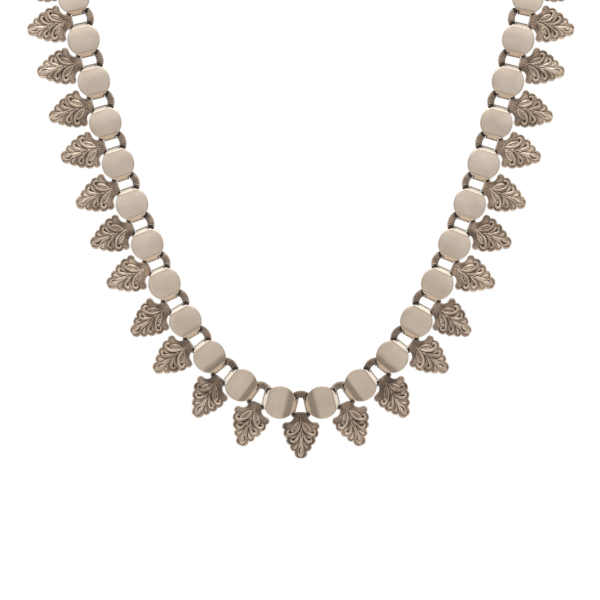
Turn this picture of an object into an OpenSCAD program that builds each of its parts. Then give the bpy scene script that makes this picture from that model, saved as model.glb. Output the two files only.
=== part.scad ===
// Fringe necklace: round sheet discs hinged to cast frames, each frame with an acanthus leaf.
// Lengths are in millimetres. The front hangs in the XZ plane and faces -Y, and the origin is the
// inner face of the clasp at the nape. Every link is drawn in its own frame, with X along the chain,
// -Y out of the face and -Z towards the leaf's tip, and is then placed along the chain.

/* [Chain] */
// Distance from one leaf link to the next
pitch = 10; // [9.9:0.1:10.4]
// Leaf links on each side of the centre one
side_links = 21; // [20:1:22]
// Slope that the chain gains near the bottom of the loop, in degrees
bottom_turn = 60.5; // [58:0.5:64]
// Links, counting discs too, over which it gains that slope
bottom_reach = 4.6; // [4.5:0.1:5.6]
// Further slope for each link up the sides, in degrees
side_turn = 0.8; // [0.4:0.05:1]
// How far each loose leaf link lags behind the slope, in degrees, from the centre one up; the last
// value is also that of all the links above it
leaf_lags = [0, 4, 8, 2, 6, 1];
// Links, counting discs too, from the centre to where the chain starts to go round the neck
front_links = 22; // [20:1:24]

/* [Disc link] */
// Diameter of the round face
disc_d = 7.6; // [7:0.1:7.8]
// Thickness of the sheet
sheet = 0.28; // [0.24:0.02:0.3]
// Distance from a disc's centre to the bar that it folds round
disc_reach = 3.1; // [3.1:0.05:3.2]
// Height of the bent face at its middle over its creases
face_rise = 0.2; // [0.1:0.05:0.3]
// Width of the tabs where they fold
tab_w = 3; // [2.6:0.1:3]

/* [Leaf link] */
// Radius of the frame's side bars
bar_r = 0.28; // [0.24:0.02:0.28]
// Height of the frame's opening, from its bottom bar to its arch
opening_h = 3.84; // [3.8:0.02:3.9]
// Radius of the arch's outer edge
arch_r = 3.2; // [3:0.1:3.4]
// Ribs across the arch
arch_ribs = 7; // [5:1:7]
// Thickness of the leaf's plate
leaf_t = 0.9; // [0.7:0.05:1]
// Height of the relief over the plate
relief = 0.3; // [0.2:0.05:0.35]

/* [Clasp] */
// Distance between the clasp's two end bars
clasp_w = 13; // [11:0.5:15]
// Height of the clasp's box
clasp_h = 5.6; // [5:0.1:7]
// Thickness of the clasp's box
clasp_t = 2.4; // [2:0.1:3]

/* [Hidden] */
$fn = 48;

// Chain
frame_reach = pitch / 2 - disc_reach;
last_leaf = 2 * side_links;
clasp_link = last_leaf + 2;
top_slope = slope(front_links);
wrap_axis = (180 + top_slope) / 2;
wrap_cone = (180 - top_slope) / 2;
wrap_bias = closing_bias(-1, 2, 20);
nape = chain(wrap_bias)[clasp_link] - [0, clasp_t / 2, 0];

// Disc link, seen along its width: x along the chain, y out of the face
crease_x = disc_reach;
crease_y = 1;
fold_x = disc_reach + 0.22;
fold_y = -0.06;
fold_r = 0.86;
fold_angle = tangent_angle([crease_x, crease_y], [fold_x, fold_y], fold_r);
face_r = (crease_x * crease_x + face_rise * face_rise) / (2 * face_rise);
return_x = 2.3;
seam_x = 1.5;
seam_y = crease_y + face_rise * (1 - pow(seam_x / crease_x, 2)) - sheet / 2;
fold_steps = 7;
crease_lap = 0.15;
taper_x = crease_x + 0.35;
tab_root = 1.95;
root_x = crease_x - 0.1;
root_corner_x = crease_x - 0.5;

// Leaf link, seen from the front: x along the chain, y towards the neck
bar_l = opening_h + 0.8;
frame_t = 2 * bar_r + 0.04;
arch_h = 1.55;
arch_top = opening_h / 2 + arch_h;
arch_foot = 0.4;
arch_inner_r = 5.7;
arch_inner_rise = 0.1;
arch_half_w = frame_reach + bar_r - 0.04;
rib_r = 0.17;
rib_l = 1.3;
rib_edge = 0.06;
rib_angle = 8;
knob_r = 0.38;
knob_drop = 0.42;
foot_out = 0.2;
foot_drop = 0.5;
neck_w = 3.4;
neck_y = -2.85;
neck_lap = 0.15;
flare_w = 1.6;
flare_h = 1.25;
notch_in = [0.9, -0.4];
plate_z = -leaf_t / 2;
plate_top = plate_z + leaf_t;
relief_sink = 0.2;
rim_w = 0.2;
dot_r = 0.13;

// Lobes of the leaf's edge on one side: centre x, centre y, radius
LOBE_X = 0;
LOBE_Y = 1;
LOBE_R = 2;
lobes = [
    [3.55, -4.85, 0.74],
    [3.20, -6.70, 0.82],
    [2.62, -8.35, 0.82],
    [1.70, -9.80, 0.82]
];
tip = [0, -10.95, 1.45];

// Notches between the lobes on one side, from the neck to the tip
notches = [[3.72, -5.70], [3.28, -7.60], [2.52, -9.20], [1.45, -10.50]];

// The concave edge between the neck and the first lobe
shoulder = [3.24, -2.52, 1.55];

// Curved veins on one side, each bowed to the left of the way from its start to its end
START_X = 0;
START_Y = 1;
END_X = 2;
END_Y = 3;
BOW = 4;
VEIN_W = 5;
veins = [
    [0.10, -3.25, 2.62, -6.02, 0.42, 0.30],
    [0.10, -4.70, 2.22, -7.15, 0.38, 0.26],
    [0.10, -6.90, 1.95, -8.36, 0.26, 0.26],
    [0.05, -8.35, 1.25, -9.95, 0.20, 0.24],
    [3.62, -4.62, 1.15, -3.48, 0.22, 0.26]
];

// Scrolls that the veins end in: centre x, centre y, radius
scrolls = [[2.70, -6.47, 0.52], [1.90, -8.80, 0.50]];
scroll_w = 0.22;
scroll_from = -120;
scroll_to = 150;
tip_curl_r = 0.66;
tip_curl_from = -170;
tip_curl_to = 100;
midrib_w = 0.56;
midrib_start = neck_y + 0.3;
midrib_end = tip[1] + 0.7;
midrib_dots = 6;
midrib_dot_y = -4.9;
midrib_dot_step = 0.62;

// Rows of dots on one side, each from its first dot
STEP_X = 2;
STEP_Y = 3;
DOT_COUNT = 4;
dot_rows = [[1.02, -4.98, 0.36, -0.42, 4], [0.72, -8.02, 0.34, -0.3, 3]];

// Clasp
lug_h = 0.6;
lug_t = 2 * bar_r - 0.06;
lug_sink = 0.3;

function tanh(x) = let (e = exp(2 * x)) (e - 1) / (e + 1);

// Angle at which the line from a point touches a circle, on the far side of the circle
function tangent_angle(point, centre, r) =
    let (away = point - centre)
    atan2(away[1], away[0]) - acos(r / norm(away));

function is_leaf(q) = q % 2 == 0;
function reach(q) = q == clasp_link ? clasp_w / 2 : is_leaf(q) ? frame_reach : disc_reach;

// Slope of the front of the chain at link q, in degrees from level
function slope(q) = bottom_turn * tanh(q / bottom_reach) + side_turn * q;

// Lag of leaf link k, counted from the centre one
function loose_lag(k) = leaf_lags[min(k, len(leaf_lags) - 1)];

// Share of the way round the neck at link q, where bias turns more of it early
function wrap(q, bias) =
    let (u = max(0, q - front_links) / (clasp_link - front_links))
    u + bias * u * (1 - u);

// Directions of link q, as its X, its Y and its Z. The sides rise at their slope and then turn
// half round a leaning axis, so that the chain ends level at the nape with its leaves still down.
function directions(q, bias) =
    let (
        s = slope(min(q, front_links)),
        turn = 180 * wrap(q, bias),
        lag = is_leaf(q) ? loose_lag(q / 2) * (1 - wrap(q, bias)) : 0,
        axis = [cos(wrap_axis), 0, sin(wrap_axis)],
        out = [sin(wrap_axis), 0, -cos(wrap_axis)],
        swung = cos(turn) * out + [0, sin(turn), 0],
        along = q < front_links ? [cos(s), 0, sin(s)]
            : cos(wrap_cone) * axis + sin(wrap_cone) * swung,
        leafward = q < front_links ? [sin(s), 0, -cos(s)]
            : -sin(wrap_cone) * axis + cos(wrap_cone) * swung,
        x = cos(lag) * along + sin(lag) * leafward,
        z = sin(lag) * along - cos(lag) * leafward
    )
    [x, cross(z, x), z];

// Centres of the links on the right side, from the centre link to the clasp
function chain(bias) = [
    for (q = 0, p = [0, 0, 0]; q <= clasp_link; p = next_centre(q, p, bias), q = q + 1) p
];
function next_centre(q, p, bias) =
    p + reach(q) * directions(q, bias)[0] + reach(q + 1) * directions(q + 1, bias)[0];

// The bias at which the right side ends on the middle plane, found by halving
function closing_bias(low, high, steps) =
    let (middle = (low + high) / 2)
    steps == 0 ? middle
        : chain(middle)[clasp_link][0] > 0 ? closing_bias(middle, high, steps - 1)
        : closing_bias(low, middle, steps - 1);

// Puts a link at place q of the right side (side = 1) or of the left side (side = -1)
module place(q, side) {
    d = directions(q, wrap_bias);
    p = chain(wrap_bias)[q];
    translate(-nape)
        mirror([side < 0 ? 1 : 0, 0, 0])
            multmatrix([
                [d[0][0], d[1][0], d[2][0], p[0]],
                [d[0][1], d[1][1], d[2][1], p[1]],
                [d[0][2], d[1][2], d[2][2], p[2]],
                [0, 0, 0, 1]
            ])
                children();
}

// Turns what is drawn face up into a link's own frame
module face_front() {
    rotate([90, 0, 0]) children();
}

module both_sides() {
    children();
    mirror([1, 0, 0]) children();
}

// A ring's piece from one angle to another, drawn flat
module ring_piece(outer_r, inner_r, from, to) {
    far = outer_r * 3;
    middle = (from + to) / 2;
    intersection() {
        difference() {
            circle(r = outer_r);
            circle(r = inner_r);
        }
        polygon([
            [0, 0],
            far * [cos(from), sin(from)],
            far * [cos(middle), sin(middle)],
            far * [cos(to), sin(to)]
        ]);
    }
}

// The leaf's outline, moved in by inset and, where it is moved in, open towards the neck
module leaf_outline(inset) {
    side = [for (n = notches) n - inset * notch_in];
    half = neck_w / 2 - inset;
    difference() {
        union() {
            polygon(concat(
                [[half, neck_y + inset], [half + flare_w, neck_y - flare_h]],
                side,
                [for (i = [len(side) - 1:-1:0]) [-side[i][0], side[i][1]]],
                [[-half - flare_w, neck_y - flare_h], [-half, neck_y + inset]]
            ));
            for (lobe = lobes) {
                both_sides()
                    translate([lobe[LOBE_X], lobe[LOBE_Y]])
                        circle(r = lobe[LOBE_R] - inset);
            }
            translate([tip[0], tip[1]])
                circle(r = tip[2] - inset);
        }
        both_sides()
            translate([shoulder[0], shoulder[1]])
                circle(r = shoulder[2] + inset);
    }
}

// The frame: two side bars, the arch with its ribs, and the bottom bar with its knobs
module frame() {
    both_sides()
        translate([frame_reach, -bar_l / 2, 0])
            rotate([-90, 0, 0])
                cylinder(r = bar_r, h = bar_l);
    linear_extrude(frame_t, center = true) {
        arch_outline();
        bottom_bar_outline();
    }
    for (i = [0:arch_ribs - 1]) {
        translate([0, arch_top - arch_r, frame_t / 2])
            rotate((i - (arch_ribs - 1) / 2) * rib_angle)
                translate([0, arch_r - rib_l - rib_edge, 0])
                    rotate([-90, 0, 0])
                        cylinder(r = rib_r, h = rib_l);
    }
    both_sides()
        translate([frame_reach, -opening_h / 2 - knob_drop, 0])
            sphere(r = knob_r);
}

module arch_outline() {
    difference() {
        intersection() {
            translate([0, arch_top - arch_r])
                circle(r = arch_r);
            translate([-arch_half_w, opening_h / 2 - arch_foot])
                square([2 * arch_half_w, 2 * arch_h]);
        }
        translate([0, opening_h / 2 + arch_inner_rise - arch_inner_r])
            circle(r = arch_inner_r);
    }
}

module bottom_bar_outline() {
    top = -opening_h / 2;
    foot = frame_reach + foot_out;
    half = neck_w / 2 - neck_lap;
    end = neck_y - 2 * neck_lap;
    polygon([
        [-frame_reach, top], [frame_reach, top], [foot, top - foot_drop],
        [half, neck_y + neck_lap], [half, end], [-half, end], [-half, neck_y + neck_lap],
        [-foot, top - foot_drop]
    ]);
}

// The leaf's plate with its raised rim
module leaf_plate() {
    difference() {
        translate([0, 0, plate_z])
            linear_extrude(leaf_t + relief / 2)
                leaf_outline(0);
        translate([0, 0, plate_top])
            linear_extrude(relief)
                leaf_outline(rim_w);
    }
}

// A vein that bows to the left of the way from its start to its end
module vein_outline(vein) {
    start = [vein[START_X], vein[START_Y]];
    end = [vein[END_X], vein[END_Y]];
    chord = norm(end - start);
    r = (chord * chord / 4 + vein[BOW] * vein[BOW]) / (2 * vein[BOW]);
    left = [start[1] - end[1], end[0] - start[0]] / chord;
    centre = (start + end) / 2 - (r - vein[BOW]) * left;
    from = atan2(end[1] - centre[1], end[0] - centre[0]);
    translate(centre)
        ring_piece(r + vein[VEIN_W] / 2, r - vein[VEIN_W] / 2, from, from + 2 * asin(chord / 2 / r));
}

// The raised midrib, veins, scrolls and dots
module leaf_relief() {
    translate([0, 0, plate_top - relief_sink])
        linear_extrude(relief + relief_sink) {
            polygon([
                [-midrib_w / 2, midrib_start], [midrib_w / 2, midrib_start],
                [midrib_w / 4, midrib_end], [-midrib_w / 4, midrib_end]
            ]);
            both_sides() {
                for (vein = veins) {
                    vein_outline(vein);
                }
                for (scroll = scrolls) {
                    translate([scroll[0], scroll[1]])
                        ring_piece(scroll[2], scroll[2] - scroll_w, scroll_from, scroll_to);
                }
            }
            translate([tip[0], tip[1]])
                ring_piece(tip_curl_r, tip_curl_r - scroll_w, tip_curl_from, tip_curl_to);
        }
    both_sides()
        for (row = dot_rows) {
            for (i = [0:row[DOT_COUNT] - 1]) {
                translate([row[0] + i * row[STEP_X], row[1] + i * row[STEP_Y], plate_top - dot_r])
                    cylinder(r = dot_r, h = relief + dot_r / 2);
            }
        }
    for (i = [0:midrib_dots - 1]) {
        translate([0, midrib_dot_y - i * midrib_dot_step, plate_top + dot_r])
            cylinder(r = dot_r, h = relief);
    }
}

module leaf_link() {
    color([0.55, 0.5, 0.43])
        face_front() {
            frame();
            leaf_plate();
            leaf_relief();
        }
}

// The round face, bent across the chain and cut off at its creases
module bent_face() {
    intersection() {
        linear_extrude(2 * disc_d, center = true)
            intersection() {
                translate([0, crease_y + face_rise - face_r])
                    difference() {
                        circle(r = face_r, $fn = 240);
                        circle(r = face_r - sheet, $fn = 240);
                    }
                translate([-crease_x, 0])
                    square([2 * crease_x, 2 * crease_y]);
            }
        face_front()
            cylinder(d = disc_d, h = disc_d, center = true);
    }
}

// One side of a tab's sheet seen along its width, at radius r of the fold: it slopes from the
// crease, folds round the bar, returns behind it and rises to meet the face
function tab_side(r, crease_point, return_point, seam_point) = concat(
    [crease_point],
    [
        for (i = [0:fold_steps])
            let (a = fold_angle - (fold_angle + 90) * i / fold_steps)
            [fold_x + r * cos(a), fold_y + r * sin(a)]
    ],
    [return_point, seam_point]
);

function reversed(list) = [for (i = [len(list) - 1:-1:0]) list[i]];

module tab_profile() {
    inner_r = fold_r - sheet;
    outside = tab_side(
        fold_r,
        [crease_x - crease_lap / 10, crease_y - crease_lap / 15],
        [return_x - sheet / 2, fold_y - fold_r],
        [seam_x - sheet, seam_y]
    );
    inside = tab_side(
        inner_r,
        [crease_x - crease_lap, crease_y - sheet - crease_lap / 15],
        [return_x, fold_y - inner_r],
        [seam_x, seam_y]
    );
    middle = [crease_x - 2 * crease_lap, crease_y - sheet / 2];
    polygon(concat([middle], outside, reversed(inside)));
}

// A tab's outline seen from the front, which narrows from the crease to the fold
module tab_outline() {
    half = tab_w / 2;
    polygon([
        [0, -half], [root_corner_x, -half], [root_x, -tab_root], [taper_x, -half],
        [2 * crease_x, -half], [2 * crease_x, half], [taper_x, half], [root_x, tab_root],
        [root_corner_x, half], [0, half]
    ]);
}

module disc_link() {
    color([0.76, 0.72, 0.66])
        mirror([0, 1, 0]) {
            bent_face();
            both_sides()
                intersection() {
                    linear_extrude(disc_d, center = true)
                        tab_profile();
                    face_front()
                        linear_extrude(disc_d, center = true)
                            tab_outline();
                }
        }
}

module clasp() {
    color([0.76, 0.72, 0.66])
        place(clasp_link, 1) {
            box_w = clasp_w - 2 * frame_reach;
            lug_w = frame_reach + lug_sink;
            cube([box_w, clasp_t, clasp_h], center = true);
            both_sides() {
                translate([clasp_w / 2, 0, -bar_l / 2])
                    cylinder(r = bar_r, h = bar_l);
                for (side = [-1, 1]) {
                    translate([box_w / 2 - lug_sink + lug_w / 2, 0, side * (opening_h + lug_h) / 2])
                        cube([lug_w, lug_t, lug_h], center = true);
                }
            }
        }
}

place(0, 1) leaf_link();  // leaf_link_centre
for (k = [1:side_links]) {
    place(2 * k, -1) leaf_link();
    place(2 * k, 1) leaf_link();
}
union() {  // disc_links_left
    for (q = [1:2:clasp_link]) place(q, -1) disc_link();
}
union() {  // disc_links_right
    for (q = [1:2:clasp_link]) place(q, 1) disc_link();
}
clasp();
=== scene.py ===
"""The looks of the fringe necklace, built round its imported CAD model.

Every leaf link gets a casting with worked relief, and every row of disc links gets smooth bent
sheets with rounded edges. Lengths are in millimetres until a mesh is made, and then in metres.
A link is drawn flat, with x along the chain, y towards the neck and z out of its face.
"""

import math

import bpy
import numpy as np
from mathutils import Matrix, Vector
from mathutils.geometry import delaunay_2d_cdt


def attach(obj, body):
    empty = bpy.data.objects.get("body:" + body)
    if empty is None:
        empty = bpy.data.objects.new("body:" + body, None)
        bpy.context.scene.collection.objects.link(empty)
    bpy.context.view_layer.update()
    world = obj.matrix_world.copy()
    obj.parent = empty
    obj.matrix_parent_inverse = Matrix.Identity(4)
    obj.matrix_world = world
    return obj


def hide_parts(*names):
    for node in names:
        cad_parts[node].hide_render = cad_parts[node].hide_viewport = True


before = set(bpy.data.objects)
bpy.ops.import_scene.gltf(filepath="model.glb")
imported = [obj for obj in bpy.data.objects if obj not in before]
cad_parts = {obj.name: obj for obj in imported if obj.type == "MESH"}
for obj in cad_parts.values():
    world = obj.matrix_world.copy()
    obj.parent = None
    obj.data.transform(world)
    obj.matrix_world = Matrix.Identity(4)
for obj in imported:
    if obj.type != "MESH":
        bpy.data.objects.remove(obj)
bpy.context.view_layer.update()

MM = 0.001
SEED = 417

# The chain, with the CAD source's values
PITCH = 10.0
SIDE_LINKS = 21
BOTTOM_TURN = 60.5
BOTTOM_REACH = 4.6
SIDE_TURN = 0.8
LEAF_LAGS = (0, 4, 8, 2, 6, 1)
FRONT_LINKS = 22
DISC_REACH = 3.1
CLASP_W, CLASP_H, CLASP_T = 13.0, 5.6, 2.4
FRAME_REACH = PITCH / 2 - DISC_REACH
CLASP_LINK = 2 * SIDE_LINKS + 2

# The leaf link
BAR_R = 0.28
BAR_HALF_L = 2.32
PLATE_BACK = -0.45
BAR_TOP_Y = -1.52
BAR_DIP_Y = -1.67
CORNER_TOP_Y = -1.58
ARCH_R = 3.2
ARCH_CENTRE_Y = 0.27
ARCH_FOOT_Y = 1.55
ARCH_HALF_W = 2.14
ARCH_INNER_TOP = 1.82
ARCH_INNER_HALF_W = 1.05
RIB_ANGLE = 8.0
KNOB = (1.92, -2.32)
LEAF_STEP = 0.11
ARCH_STEP = 0.11
GRID_CELL = 0.055
GRID_MARGIN = 0.5
EDGE_ROUND = 0.2
EDGE_Z = 0.12
BACK_INSET = 0.1
HOLLOW = 0.16
ARCH_BACK = -0.3
LEAF_BACK_STEP = 0.6
ARCH_BACK_STEP = 0.5
SWAY, SWAY_CELL = 0.14, 2.6
LOOSE = 0.06
UNEVEN, UNEVEN_CELL = 0.05, 1.3
GRAIN, GRAIN_CELL = 0.02, 0.45

# Leaf links at the places below this have an arch that follows the folds of the turned discs
CURVED_LINKS = 14

# Rings of a casting's wall: share of the depth, and how far in
WALL_RINGS = ((0.16, 0.0), (0.9, 0.0), (1.0, BACK_INSET))

# Rings at a round bar's end: distance from the end and thickness, as shares of its radius
BAR_ENDS = ((0, 0.6), (0.1, 0.9), (0.4, 1))

# Forms of the leaf's plate: height, then middle and width
DOME, DOME_SWELL, DOME_W = 0.40, 0.14, 1.9
RIM, RIM_AT = 0.12, (0.17, 0.11)
DITCH, DITCH_AT = 0.10, (0.42, 0.12)
SHOULDER, SHOULDER_AT, SHOULDER_SIZE = 0.10, (3.4, -4.8), (0.7, 0.55)
KNOB_RISE, KNOB_AT, KNOB_SIZE = 0.14, (1.86, -2.3), (0.26, 0.22)
STREAK, STREAK_TURNS = 0.035, 9.5
TAB_ROOM = 0.3
LOWEST = 0.14

# Height of the arch's front: its edge, its rounding and its ribs
ARCH_EDGE, ARCH_CROWN, ARCH_ROUND, RIB_DEPTH = 0.22, 0.38, 0.62, 0.17
OUTER_SAMPLES, INNER_SAMPLES = 40, 44

# Tones of the cast silver, from 0, dark tarnish, to 1, bright metal, and how far its forms, and the
# painted shade and highlights, move them
WALL_TONE = 0.36
BAR_TONE = 0.35
PLATE_TONE = 0.43
BODY_TONE = 0.20
GROOVE_TONE = 0.34
CUT_TONE = 0.60
DOT_TONE = 2.2
RIM_TONE = 0.13
DITCH_TONE = 0.07
RIM_TONE_AT, DITCH_TONE_AT = (0.14, 0.10), (0.40, 0.11)
SHOULDER_TONE = 0.12
RELIEF_TONE, RELIEF_BLUR = 0.5, 0.35
ARCH_TONE = 0.36
# The arch's painted highlight on its outer edge, and its painted shade at the feet under the discs'
# folds
RIB_RISE, RIB_FALL, RIDGE_PAINTED_HIGHLIGHT, UNDER_DISC_PAINTED_SHADE, FOOT_PAINTED_SHADE = 0.07, 0.42, 0.12, 0.9, 0.4
# Darker towards the top of the leaf; painted highlight on the tip; painted shade at the neck's
# corners under the discs' folds
NECK_TONE, TIP_PAINTED_HIGHLIGHT = 0.13, 0.11
CORNER_AT, CORNER_SIZE = (1.55, -1.74), (0.42, 0.30)
MOTTLED, UNEVEN_TONE, GRAIN_TONE = 0.16, 0.10, 0.05
LUCK_TONE, UPPER_TONE = 0.04, 0.06

# From which range each leaf link draws its ribs' contrast and its neck corners' painted shade, and
# each body or slot its width and height, and each row of dots its strength
RIB_CONTRASTS = (1.0, 2.2)
CORNER_SHADES = (0.35, 0.9)
WIDTHS, HEIGHTS, STRENGTHS = (0.84, 1.14), (0.6, 1.35), (0.5, 1.2)

# Below BEND_Y each leaf is bent sideways in its own plane: the shift for each mm, from the middle up
BEND_Y = -2.3
LEAF_BENDS = (0, 0.03, 0.09, 0.03, 0.065, -0.015, 0.02, 0.07, -0.022, 0.025, -0.025, 0)

# The disc link
DISC_R = 3.8
SHEET = 0.28
SHEET_ROUND, ROUND_STEPS = 0.09, 5
CREASE_Y = 1.0
FACE_RISE = 0.2
FOLD_X, FOLD_Y, FOLD_R = 3.32, -0.06, 0.8
CREASE_X = 2.98
FACE_END = CREASE_X - 0.07
TAB_WIDTHS = ((0.08, 2.27), (0.3, 2.11), (0.6, 1.86), (1.0, 1.52))
FOLD_HALF_W = 1.43

# The sheet's return behind the face: x, rise above the fold's lowest place, half width; and its end,
# with its drop under the face
RETURN = ((2.8, 0, 1.46), (2.45, 0, 1.44), (2.2, 0.12, 1.42))
SEAM_X, SEAM_DROP, SEAM_HALF_W = 1.72, 0.1, 1.4

FOLD_REACH = FOLD_X + FOLD_R - DISC_REACH
FACE_SAMPLES = 13
FOLD_SAMPLES = 11
ACROSS = 12
DENT, DENT_CELL = 0.022, 2.2

# Places along a disc's sheet, beyond the face's -1 to 1
ON_TAB, ON_FOLD, BEHIND = 1.1, 1.3, 1.5

# Painted dark reflection, a dark band on each disc's inner half, from the bottom up: strength, start
# and full place, where the middle is 0 and the crease 1; the last row is that of all the discs above
# it
DARK_REFLECTION_BANDS = [(0.97, 0.28, 0.66), (1.0, 0.42, 0.60), (1.0, 0.34, 0.80), (0.5, 0.60, 0.96),
         (0.0, 0.90, 1.0)]

# How bright the outer and inner tab of each disc is, from the bottom up: painted highlight and
# painted shade
GLEAMS = [(1.13, 1.22), (1.12, 1.03), (1.12, 1.06), (1.08, 1.08), (0.92, 1.12), (0.82, 1.14),
          (0.76, 1.12), (0.72, 1.10), (0.68, 1.08), (0.62, 1.06)]

# The clasp's rounded edge, and the arms that carry its bars
CLASP_CORNER, CORNER_STEPS = 0.45, 5
ARM_Y, ARM_R, ARM_LAP = 2.22, 0.27, 0.4

# Repeatable noise
NOISE_SIZE = 4096
HASH = (73856093, 19349663, 83492791)

rng = np.random.RandomState(SEED)


def smoothstep(low, high, v):
    t = np.clip((v - low) / (high - low), 0, 1)
    return t * t * (3 - 2 * t)


def hump(v, middle, width):
    """1 in the middle, and falling off on both sides within about the width."""
    return np.exp(-(((v - middle) / width) ** 2))


def spot(x, y, middle, size):
    """1 at a place, and falling off round it within about the size along x and y."""
    return np.exp(-(((x - middle[0]) / size[0]) ** 2 + ((y - middle[1]) / size[1]) ** 2))


def is_leaf(q):
    return q % 2 == 0


def reach(q):
    if q == CLASP_LINK:
        return CLASP_W / 2
    return FRAME_REACH if is_leaf(q) else DISC_REACH


def slope(q):
    return math.radians(BOTTOM_TURN * math.tanh(q / BOTTOM_REACH) + SIDE_TURN * q)


def loose_lag(k):
    return math.radians(LEAF_LAGS[min(k, len(LEAF_LAGS) - 1)])


def wrap(q, bias):
    u = max(0, q - FRONT_LINKS) / (CLASP_LINK - FRONT_LINKS)
    return u + bias * u * (1 - u)


def directions(q, bias):
    """Rows: the link's x along the chain, its y into the necklace, and its z towards the neck."""
    s, top = slope(min(q, FRONT_LINKS)), slope(FRONT_LINKS)
    axis_angle, cone = (math.pi + top) / 2, (math.pi - top) / 2
    turn = math.pi * wrap(q, bias)
    lag = loose_lag(q // 2) * (1 - wrap(q, bias)) if is_leaf(q) else 0
    axis = np.array([math.cos(axis_angle), 0, math.sin(axis_angle)])
    out = np.array([math.sin(axis_angle), 0, -math.cos(axis_angle)])
    swung = math.cos(turn) * out + np.array([0, math.sin(turn), 0])
    if q < FRONT_LINKS:
        along = np.array([math.cos(s), 0, math.sin(s)])
        leafward = np.array([math.sin(s), 0, -math.cos(s)])
    else:
        along = math.cos(cone) * axis + math.sin(cone) * swung
        leafward = -math.sin(cone) * axis + math.cos(cone) * swung
    x = math.cos(lag) * along + math.sin(lag) * leafward
    z = math.sin(lag) * along - math.cos(lag) * leafward
    return np.array([x, np.cross(z, x), z])


def chain(bias):
    points = [np.zeros(3)]
    for q in range(CLASP_LINK):
        step = reach(q) * directions(q, bias)[0] + reach(q + 1) * directions(q + 1, bias)[0]
        points.append(points[-1] + step)
    return points


def closing_bias(low=-1.0, high=2.0, steps=30):
    """The bias at which the right side ends on the middle plane."""
    for _ in range(steps):
        middle = (low + high) / 2
        if chain(middle)[CLASP_LINK][0] > 0:
            low = middle
        else:
            high = middle
    return (low + high) / 2


BIAS = closing_bias()
CHAIN = chain(BIAS)
NAPE = CHAIN[CLASP_LINK] - np.array([0, CLASP_T / 2, 0])


def placed(points, q, side):
    """Flat points (x, y, z out of the face) at place q of the right or left side, in metres."""
    p = np.asarray(points, float)
    d = directions(q, BIAS)
    world = CHAIN[q] - NAPE + p[:, :1] * d[0] - p[:, 2:3] * d[1] + p[:, 1:2] * d[2]
    if side < 0:
        world[:, 0] = -world[:, 0]
    return world * MM


def curve_through(points, samples):
    """A smooth curve through the points, whose other columns are carried along it."""
    p = np.asarray(points, float)
    p = np.vstack([2 * p[0] - p[1], p, 2 * p[-1] - p[-2]])
    found = []
    for i in range(1, len(p) - 2):
        t = np.linspace(0, 1, samples, endpoint=False)[:, None]
        a, b, c, d = p[i - 1], p[i], p[i + 1], p[i + 2]
        found.append(
            0.5 * (2 * b + (c - a) * t + (2 * a - 5 * b + 4 * c - d) * t**2
                   + (3 * b - a - 3 * c + d) * t**3)
        )
    return np.vstack([*found, p[-2:-1]])


def nearest_on(points, path):
    """Distance from each point to the path, and the path's other columns at the nearest place."""
    a, b = path[:-1], path[1:]
    ab = b[:, :2] - a[:, :2]
    ap = points[:, None, :] - a[None, :, :2]
    t = np.clip((ap * ab).sum(2) / np.maximum((ab * ab).sum(1), 1e-12), 0, 1)
    gap = np.linalg.norm(ap - t[:, :, None] * ab, axis=2)
    k = gap.argmin(1)
    row = np.arange(len(points))
    share = t[row, k][:, None]
    return gap[row, k], a[k, 2:] * (1 - share) + b[k, 2:] * share


def beside(points, path, margin=0.3):
    """Which points lie in the box round the path's body."""
    wide = path[:, 2].max() + margin
    low, high = path[:, :2].min(0) - wide, path[:, :2].max(0) + wide
    return np.flatnonzero(((points > low) & (points < high)).all(1))


def mirrored(path):
    other = np.array(path, float)
    other[:, 0] = -other[:, 0]
    return other


def arc(start, end, bulge, step=0.1):
    """Points of an arc from start up to end, which bulges to the left of the way by that much."""
    start, end = np.array(start, float), np.array(end, float)
    chord = end - start
    length = np.linalg.norm(chord)
    n = max(2, int(round((length + 2 * abs(bulge)) / step)))
    left = np.array([-chord[1], chord[0]]) / length
    r = (length**2 / 4 + bulge**2) / (2 * bulge)
    centre = (start + end) / 2 - (r - bulge) * left
    half = math.asin(min(1, length / 2 / abs(r)))
    if abs(bulge) > length / 2:
        half = math.pi - half
    base = math.atan2(*(left * np.sign(r))[::-1])
    turn = np.linspace(half, -half, n, endpoint=False) * np.sign(r)
    return [centre + abs(r) * np.array([math.cos(base + a), math.sin(base + a)]) for a in turn]


# The casting's right edge from the bottom bar to the tip: x, y, bulge of the arc to the next point
LEAF_EDGE = [
    (0.4, BAR_TOP_Y, 0.01), (0.85, BAR_TOP_Y - 0.02, 0.03),
    (1.2, BAR_DIP_Y, -0.01), (1.46, BAR_DIP_Y, -0.01), (1.56, CORNER_TOP_Y, 0.03),
    (KNOB[0] - 0.12, CORNER_TOP_Y, 0.24), (KNOB[0] + 0.26, KNOB[1] - 0.12, 0.06),
    (1.72, -2.72, -0.42), (3.36, -3.92, 0.74), (3.86, -5.62, 0.5), (3.33, -7.56, 0.5),
    (2.45, -9.2, 0.5), (1.46, -10.72, 0.62), (0, -12.3, 0),
]


def leaf_outline():
    """The casting's outline from the frame's bottom bar to the tip and back, counterclockwise."""
    right = [np.array((0, BAR_TOP_Y - 0.02), float)]
    for (ax, ay, bulge), (bx, by, _) in zip(LEAF_EDGE[:-1], LEAF_EDGE[1:]):
        right += arc((ax, ay), (bx, by), bulge)
    loop = np.vstack([right, [LEAF_EDGE[-1][:2]], mirrored(right[1:][::-1])])
    return loop[::-1]


def fold_end(x, turn):
    """How high the fold of a disc turned against a frame ends, at x from the frame's middle."""
    u = (x - FRAME_REACH + FOLD_HALF_W * math.sin(turn)) / math.cos(turn)
    return u * math.sin(turn) + FOLD_HALF_W * math.cos(turn)


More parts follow.
